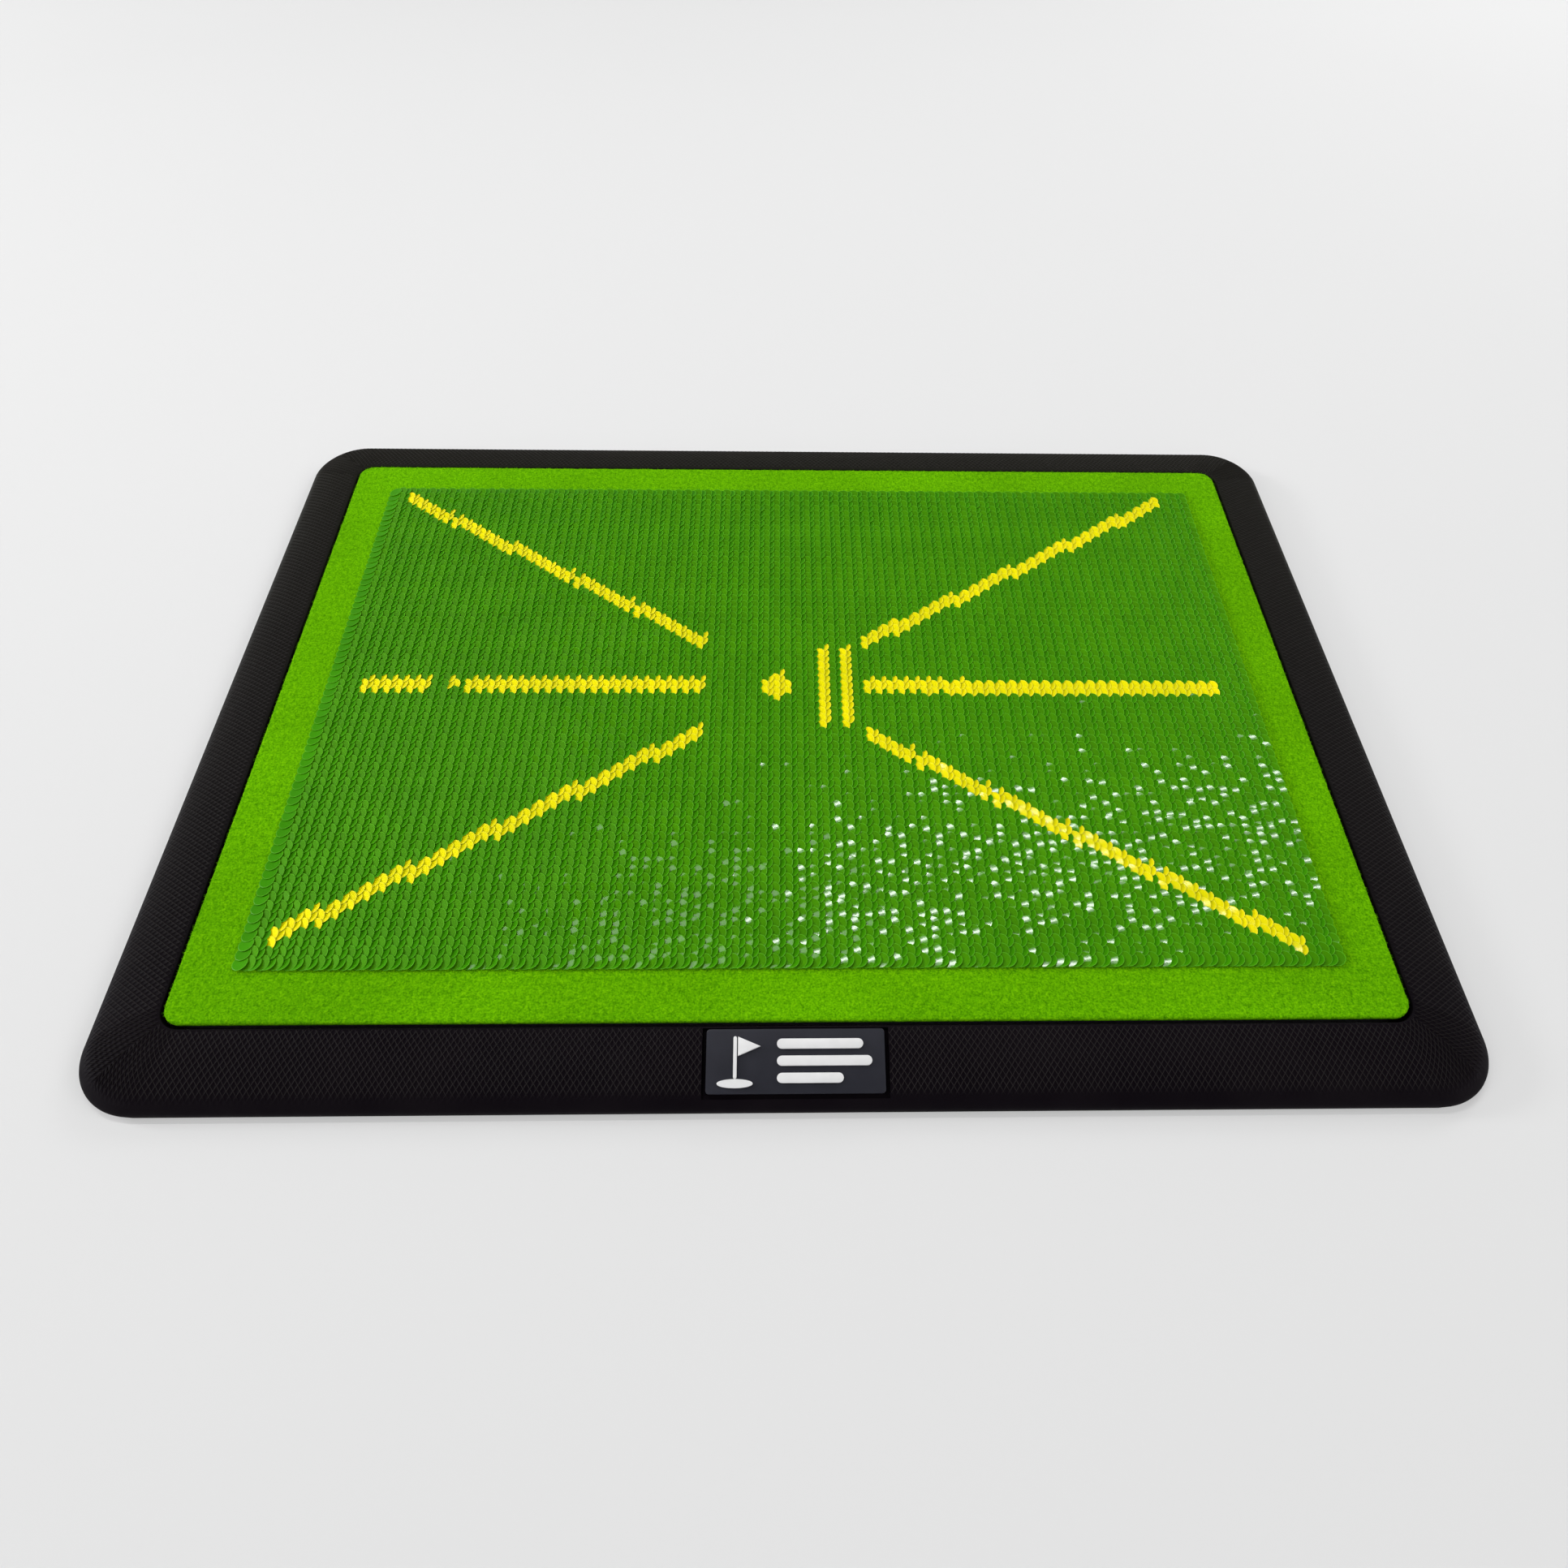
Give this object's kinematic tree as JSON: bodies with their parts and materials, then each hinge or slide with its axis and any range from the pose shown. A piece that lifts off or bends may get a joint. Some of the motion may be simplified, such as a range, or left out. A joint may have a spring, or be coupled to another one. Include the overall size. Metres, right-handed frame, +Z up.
{
  "type": "golf hitting mat",
  "caption": "Flat rubber-framed golf strike mat with a green felt panel and a field of flip sequins that show where the club brushed it.",
  "frame": {"origin": "centre of the underside", "axes": "+X along the long side, to the right for a viewer at the badge side; +Y away from the badge; +Z up"},
  "size_m": [0.5, 0.368, 0.0167],
  "materials": {
    "base_rubber": "moulded black, satin, diamond net embossed",
    "sole_rubber": "matt black non-slip sheet",
    "pad_foam": "closed-cell foam",
    "glue_film": "transfer glue film",
    "green_felt": "bright green needle felt",
    "sequin_film": "glossy dark green film discs with yellow guide marks",
    "badge_pvc": "soft PVC, navy black",
    "emblem_pvc": "soft PVC, white"
  },
  "bodies": {
    "mat": {"base_body": "base_rubber", "base_sole": "sole_rubber", "pad_adhesive": "glue_film", "impact_pad": "pad_foam", "felt_adhesive": "glue_film", "felt_panel": "green_felt", "badge_adhesive": "glue_film", "badge_plate": "badge_pvc", "emblem_flagstick": "emblem_pvc", "emblem_pennant": "emblem_pvc", "emblem_hole": "emblem_pvc", "emblem_bar_back": "emblem_pvc", "emblem_bar_middle": "emblem_pvc", "emblem_bar_front": "emblem_pvc"},
    "strip_01": {"sequin_strip_01": "sequin_film"},
    "strip_02": {"sequin_strip_02": "sequin_film"},
    "strip_03": {"sequin_strip_03": "sequin_film"},
    "strip_04": {"sequin_strip_04": "sequin_film"},
    "strip_05": {"sequin_strip_05": "sequin_film"},
    "strip_06": {"sequin_strip_06": "sequin_film"},
    "strip_07": {"sequin_strip_07": "sequin_film"},
    "strip_08": {"sequin_strip_08": "sequin_film"},
    "strip_09": {"sequin_strip_09": "sequin_film"},
    "strip_10": {"sequin_strip_10": "sequin_film"},
    "strip_11": {"sequin_strip_11": "sequin_film"},
    "strip_12": {"sequin_strip_12": "sequin_film"},
    "strip_13": {"sequin_strip_13": "sequin_film"},
    "strip_14": {"sequin_strip_14": "sequin_film"},
    "strip_15": {"sequin_strip_15": "sequin_film"},
    "strip_16": {"sequin_strip_16": "sequin_film"},
    "strip_17": {"sequin_strip_17": "sequin_film"},
    "strip_18": {"sequin_strip_18": "sequin_film"},
    "strip_19": {"sequin_strip_19": "sequin_film"},
    "strip_20": {"sequin_strip_20": "sequin_film"},
    "strip_21": {"sequin_strip_21": "sequin_film"},
    "strip_22": {"sequin_strip_22": "sequin_film"},
    "strip_23": {"sequin_strip_23": "sequin_film"},
    "strip_24": {"sequin_strip_24": "sequin_film"},
    "strip_25": {"sequin_strip_25": "sequin_film"},
    "strip_26": {"sequin_strip_26": "sequin_film"},
    "strip_27": {"sequin_strip_27": "sequin_film"},
    "strip_28": {"sequin_strip_28": "sequin_film"},
    "strip_29": {"sequin_strip_29": "sequin_film"},
    "strip_30": {"sequin_strip_30": "sequin_film"},
    "strip_31": {"sequin_strip_31": "sequin_film"},
    "strip_32": {"sequin_strip_32": "sequin_film"},
    "strip_33": {"sequin_strip_33": "sequin_film"},
    "strip_34": {"sequin_strip_34": "sequin_film"},
    "strip_35": {"sequin_strip_35": "sequin_film"},
    "strip_36": {"sequin_strip_36": "sequin_film"},
    "strip_37": {"sequin_strip_37": "sequin_film"},
    "strip_38": {"sequin_strip_38": "sequin_film"},
    "strip_39": {"sequin_strip_39": "sequin_film"},
    "strip_40": {"sequin_strip_40": "sequin_film"},
    "strip_41": {"sequin_strip_41": "sequin_film"}
  },
  "joints": [
    {"name": "strip_01_flip", "type": "hinge", "parent": "mat", "child": "strip_01", "pos_m": [-0.20154, 0, 0.0151], "axis": [0, -1, 0], "range_deg": [0, 166]},
    {"name": "strip_02_flip", "type": "hinge", "parent": "mat", "child": "strip_02", "pos_m": [-0.19164, 0, 0.0151], "axis": [0, -1, 0], "range_deg": [0, 166]},
    {"name": "strip_03_flip", "type": "hinge", "parent": "mat", "child": "strip_03", "pos_m": [-0.18174, 0, 0.0151], "axis": [0, -1, 0], "range_deg": [0, 166]},
    {"name": "strip_04_flip", "type": "hinge", "parent": "mat", "child": "strip_04", "pos_m": [-0.17184, 0, 0.0151], "axis": [0, -1, 0], "range_deg": [0, 166]},
    {"name": "strip_05_flip", "type": "hinge", "parent": "mat", "child": "strip_05", "pos_m": [-0.16194, 0, 0.0151], "axis": [0, -1, 0], "range_deg": [0, 166]},
    {"name": "strip_06_flip", "type": "hinge", "parent": "mat", "child": "strip_06", "pos_m": [-0.15204, 0, 0.0151], "axis": [0, -1, 0], "range_deg": [0, 166]},
    {"name": "strip_07_flip", "type": "hinge", "parent": "mat", "child": "strip_07", "pos_m": [-0.14214, 0, 0.0151], "axis": [0, -1, 0], "range_deg": [0, 166]},
    {"name": "strip_08_flip", "type": "hinge", "parent": "mat", "child": "strip_08", "pos_m": [-0.13224, 0, 0.0151], "axis": [0, -1, 0], "range_deg": [0, 166]},
    {"name": "strip_09_flip", "type": "hinge", "parent": "mat", "child": "strip_09", "pos_m": [-0.12234, 0, 0.0151], "axis": [0, -1, 0], "range_deg": [0, 166]},
    {"name": "strip_10_flip", "type": "hinge", "parent": "mat", "child": "strip_10", "pos_m": [-0.11244, 0, 0.0151], "axis": [0, -1, 0], "range_deg": [0, 166]},
    {"name": "strip_11_flip", "type": "hinge", "parent": "mat", "child": "strip_11", "pos_m": [-0.10254, 0, 0.0151], "axis": [0, -1, 0], "range_deg": [0, 166]},
    {"name": "strip_12_flip", "type": "hinge", "parent": "mat", "child": "strip_12", "pos_m": [-0.09264, 0, 0.0151], "axis": [0, -1, 0], "range_deg": [0, 166]},
    {"name": "strip_13_flip", "type": "hinge", "parent": "mat", "child": "strip_13", "pos_m": [-0.08274, 0, 0.0151], "axis": [0, -1, 0], "range_deg": [0, 166]},
    {"name": "strip_14_flip", "type": "hinge", "parent": "mat", "child": "strip_14", "pos_m": [-0.07284, 0, 0.0151], "axis": [0, -1, 0], "range_deg": [0, 166]},
    {"name": "strip_15_flip", "type": "hinge", "parent": "mat", "child": "strip_15", "pos_m": [-0.06294, 0, 0.0151], "axis": [0, -1, 0], "range_deg": [0, 166]},
    {"name": "strip_16_flip", "type": "hinge", "parent": "mat", "child": "strip_16", "pos_m": [-0.05304, 0, 0.0151], "axis": [0, -1, 0], "range_deg": [0, 166]},
    {"name": "strip_17_flip", "type": "hinge", "parent": "mat", "child": "strip_17", "pos_m": [-0.04314, 0, 0.0151], "axis": [0, -1, 0], "range_deg": [0, 166]},
    {"name": "strip_18_flip", "type": "hinge", "parent": "mat", "child": "strip_18", "pos_m": [-0.03324, 0, 0.0151], "axis": [0, -1, 0], "range_deg": [0, 166]},
    {"name": "strip_19_flip", "type": "hinge", "parent": "mat", "child": "strip_19", "pos_m": [-0.02334, 0, 0.0151], "axis": [0, -1, 0], "range_deg": [0, 166]},
    {"name": "strip_20_flip", "type": "hinge", "parent": "mat", "child": "strip_20", "pos_m": [-0.01344, 0, 0.0151], "axis": [0, -1, 0], "range_deg": [0, 166]},
    {"name": "strip_21_flip", "type": "hinge", "parent": "mat", "child": "strip_21", "pos_m": [-0.00354, 0, 0.0151], "axis": [0, -1, 0], "range_deg": [0, 166]},
    {"name": "strip_22_flip", "type": "hinge", "parent": "mat", "child": "strip_22", "pos_m": [0.00636, 0, 0.0151], "axis": [0, -1, 0], "range_deg": [0, 166]},
    {"name": "strip_23_flip", "type": "hinge", "parent": "mat", "child": "strip_23", "pos_m": [0.01626, 0, 0.0151], "axis": [0, -1, 0], "range_deg": [0, 166]},
    {"name": "strip_24_flip", "type": "hinge", "parent": "mat", "child": "strip_24", "pos_m": [0.02616, 0, 0.0151], "axis": [0, -1, 0], "range_deg": [0, 166]},
    {"name": "strip_25_flip", "type": "hinge", "parent": "mat", "child": "strip_25", "pos_m": [0.03606, 0, 0.0151], "axis": [0, -1, 0], "range_deg": [0, 166]},
    {"name": "strip_26_flip", "type": "hinge", "parent": "mat", "child": "strip_26", "pos_m": [0.04596, 0, 0.0151], "axis": [0, -1, 0], "range_deg": [0, 166]},
    {"name": "strip_27_flip", "type": "hinge", "parent": "mat", "child": "strip_27", "pos_m": [0.05586, 0, 0.0151], "axis": [0, -1, 0], "range_deg": [0, 166]},
    {"name": "strip_28_flip", "type": "hinge", "parent": "mat", "child": "strip_28", "pos_m": [0.06576, 0, 0.0151], "axis": [0, -1, 0], "range_deg": [0, 166]},
    {"name": "strip_29_flip", "type": "hinge", "parent": "mat", "child": "strip_29", "pos_m": [0.07566, 0, 0.0151], "axis": [0, -1, 0], "range_deg": [0, 166]},
    {"name": "strip_30_flip", "type": "hinge", "parent": "mat", "child": "strip_30", "pos_m": [0.08556, 0, 0.0151], "axis": [0, -1, 0], "range_deg": [0, 166]},
    {"name": "strip_31_flip", "type": "hinge", "parent": "mat", "child": "strip_31", "pos_m": [0.09546, 0, 0.0151], "axis": [0, -1, 0], "range_deg": [0, 166]},
    {"name": "strip_32_flip", "type": "hinge", "parent": "mat", "child": "strip_32", "pos_m": [0.10536, 0, 0.0151], "axis": [0, -1, 0], "range_deg": [0, 166]},
    {"name": "strip_33_flip", "type": "hinge", "parent": "mat", "child": "strip_33", "pos_m": [0.11526, 0, 0.0151], "axis": [0, -1, 0], "range_deg": [0, 166]},
    {"name": "strip_34_flip", "type": "hinge", "parent": "mat", "child": "strip_34", "pos_m": [0.12516, 0, 0.0151], "axis": [0, -1, 0], "range_deg": [0, 166]},
    {"name": "strip_35_flip", "type": "hinge", "parent": "mat", "child": "strip_35", "pos_m": [0.13506, 0, 0.0151], "axis": [0, -1, 0], "range_deg": [0, 166]},
    {"name": "strip_36_flip", "type": "hinge", "parent": "mat", "child": "strip_36", "pos_m": [0.14496, 0, 0.0151], "axis": [0, -1, 0], "range_deg": [0, 166]},
    {"name": "strip_37_flip", "type": "hinge", "parent": "mat", "child": "strip_37", "pos_m": [0.15486, 0, 0.0151], "axis": [0, -1, 0], "range_deg": [0, 166]},
    {"name": "strip_38_flip", "type": "hinge", "parent": "mat", "child": "strip_38", "pos_m": [0.16476, 0, 0.0151], "axis": [0, -1, 0], "range_deg": [0, 166]},
    {"name": "strip_39_flip", "type": "hinge", "parent": "mat", "child": "strip_39", "pos_m": [0.17466, 0, 0.0151], "axis": [0, -1, 0], "range_deg": [0, 166]},
    {"name": "strip_40_flip", "type": "hinge", "parent": "mat", "child": "strip_40", "pos_m": [0.18456, 0, 0.0151], "axis": [0, -1, 0], "range_deg": [0, 166]},
    {"name": "strip_41_flip", "type": "hinge", "parent": "mat", "child": "strip_41", "pos_m": [0.19446, 0, 0.0151], "axis": [0, -1, 0], "range_deg": [0, 166]}
  ],
  "couplings": [
    {"joint": "strip_02_flip", "follows": "strip_01_flip", "ratio": 1},
    {"joint": "strip_03_flip", "follows": "strip_01_flip", "ratio": 1},
    {"joint": "strip_04_flip", "follows": "strip_01_flip", "ratio": 1},
    {"joint": "strip_05_flip", "follows": "strip_01_flip", "ratio": 1},
    {"joint": "strip_06_flip", "follows": "strip_01_flip", "ratio": 1},
    {"joint": "strip_07_flip", "follows": "strip_01_flip", "ratio": 1},
    {"joint": "strip_08_flip", "follows": "strip_01_flip", "ratio": 1},
    {"joint": "strip_09_flip", "follows": "strip_01_flip", "ratio": 1},
    {"joint": "strip_10_flip", "follows": "strip_01_flip", "ratio": 1},
    {"joint": "strip_11_flip", "follows": "strip_01_flip", "ratio": 1},
    {"joint": "strip_12_flip", "follows": "strip_01_flip", "ratio": 1},
    {"joint": "strip_13_flip", "follows": "strip_01_flip", "ratio": 1},
    {"joint": "strip_14_flip", "follows": "strip_01_flip", "ratio": 1},
    {"joint": "strip_15_flip", "follows": "strip_01_flip", "ratio": 1},
    {"joint": "strip_16_flip", "follows": "strip_01_flip", "ratio": 1},
    {"joint": "strip_17_flip", "follows": "strip_01_flip", "ratio": 1},
    {"joint": "strip_18_flip", "follows": "strip_01_flip", "ratio": 1},
    {"joint": "strip_19_flip", "follows": "strip_01_flip", "ratio": 1},
    {"joint": "strip_20_flip", "follows": "strip_01_flip", "ratio": 1},
    {"joint": "strip_21_flip", "follows": "strip_01_flip", "ratio": 1},
    {"joint": "strip_22_flip", "follows": "strip_01_flip", "ratio": 1},
    {"joint": "strip_23_flip", "follows": "strip_01_flip", "ratio": 1},
    {"joint": "strip_24_flip", "follows": "strip_01_flip", "ratio": 1},
    {"joint": "strip_25_flip", "follows": "strip_01_flip", "ratio": 1},
    {"joint": "strip_26_flip", "follows": "strip_01_flip", "ratio": 1},
    {"joint": "strip_27_flip", "follows": "strip_01_flip", "ratio": 1},
    {"joint": "strip_28_flip", "follows": "strip_01_flip", "ratio": 1},
    {"joint": "strip_29_flip", "follows": "strip_01_flip", "ratio": 1},
    {"joint": "strip_30_flip", "follows": "strip_01_flip", "ratio": 1},
    {"joint": "strip_31_flip", "follows": "strip_01_flip", "ratio": 1},
    {"joint": "strip_32_flip", "follows": "strip_01_flip", "ratio": 1},
    {"joint": "strip_33_flip", "follows": "strip_01_flip", "ratio": 1},
    {"joint": "strip_34_flip", "follows": "strip_01_flip", "ratio": 1},
    {"joint": "strip_35_flip", "follows": "strip_01_flip", "ratio": 1},
    {"joint": "strip_36_flip", "follows": "strip_01_flip", "ratio": 1},
    {"joint": "strip_37_flip", "follows": "strip_01_flip", "ratio": 1},
    {"joint": "strip_38_flip", "follows": "strip_01_flip", "ratio": 1},
    {"joint": "strip_39_flip", "follows": "strip_01_flip", "ratio": 1},
    {"joint": "strip_40_flip", "follows": "strip_01_flip", "ratio": 1},
    {"joint": "strip_41_flip", "follows": "strip_01_flip", "ratio": 1}
  ]
}
